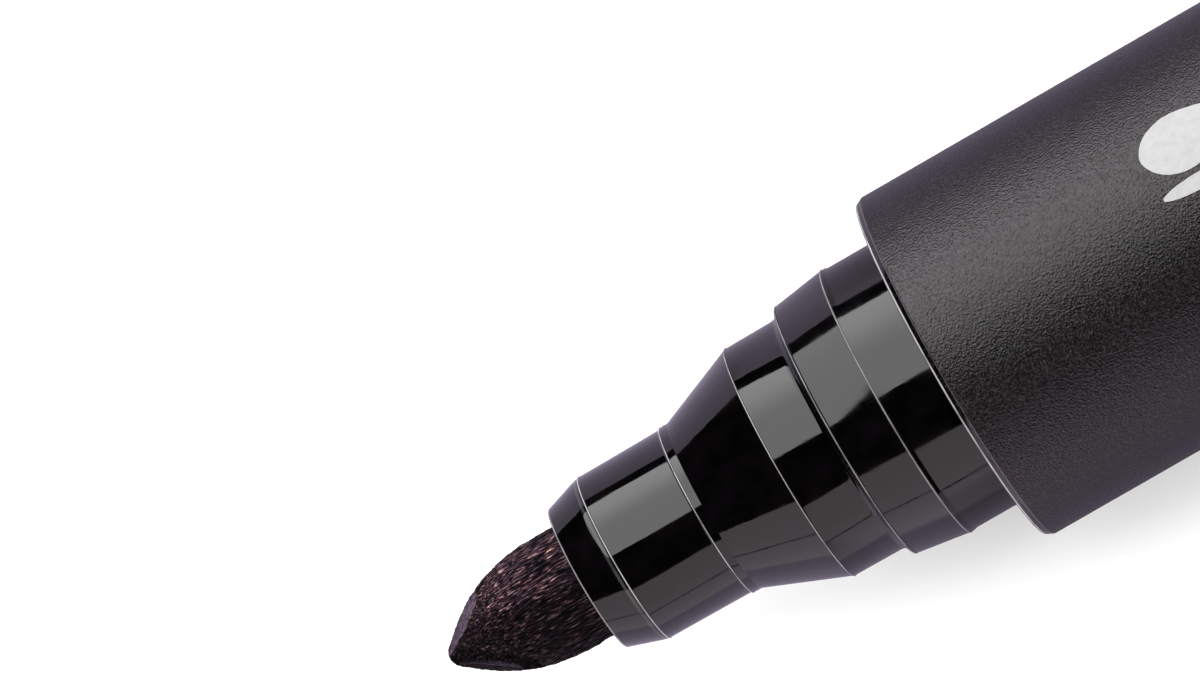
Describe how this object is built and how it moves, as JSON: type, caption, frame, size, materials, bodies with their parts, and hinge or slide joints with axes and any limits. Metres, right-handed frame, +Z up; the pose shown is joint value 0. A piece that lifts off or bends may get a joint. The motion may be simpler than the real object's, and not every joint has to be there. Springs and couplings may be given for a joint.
{
  "type": "brush pen",
  "caption": "Fat-nibbed brush pen with a round matt barrel, a stepped glossy nib holder, an ogive fibre nib and a clip cap posted on its tail.",
  "frame": {"origin": "middle of the pen's box on the desk that the lying pen rests on", "axes": "+X along the pen from the nib to the cap, +Z up from the desk"},
  "size_m": [0.1544, 0.0184, 0.016],
  "materials": {
    "barrel_plastic": "fine spark-eroded grain, charcoal",
    "front_plastic": "polished black",
    "inner_plastic": "plain moulded",
    "liner_plastic": "soft translucent",
    "nib_fibre": "ink-soaked pressed fibre",
    "reservoir_fibre": "ink-soaked fibre",
    "film": "thin clear film",
    "print_ink": "pad-printed white ink"
  },
  "bodies": {
    "pen": {"barrel": "barrel_plastic", "grip_collar": "front_plastic", "nib_holder": "front_plastic", "nib_guide": "inner_plastic", "brush_nib": "nib_fibre", "ink_reservoir": "reservoir_fibre", "reservoir_wrap": "film", "breather_tube": "inner_plastic", "tail_plug": "front_plastic"},
    "liner": {"cap_liner": "liner_plastic"},
    "cap": {"cap_shell": "barrel_plastic", "cap_crown": "front_plastic"},
    "clip": {"clip": "front_plastic"}
  },
  "joints": [
    {"name": "cap_pull", "type": "slide", "parent": "pen", "child": "liner", "axis": [1, 0, 0], "range_m": [0, 0.012]},
    {"name": "cap_turn", "type": "hinge", "parent": "liner", "child": "cap", "pos_m": [0.05883, 0.00117, 0.008], "axis": [1, 0, 0], "continuous": true},
    {"name": "clip_flex", "type": "hinge", "parent": "cap", "child": "clip", "pos_m": [0.07182, -0.00515, 0.00378], "axis": [0, -0.556, 0.8312], "range_deg": [0, 4], "stiffness_Nm_per_rad": 1}
  ]
}
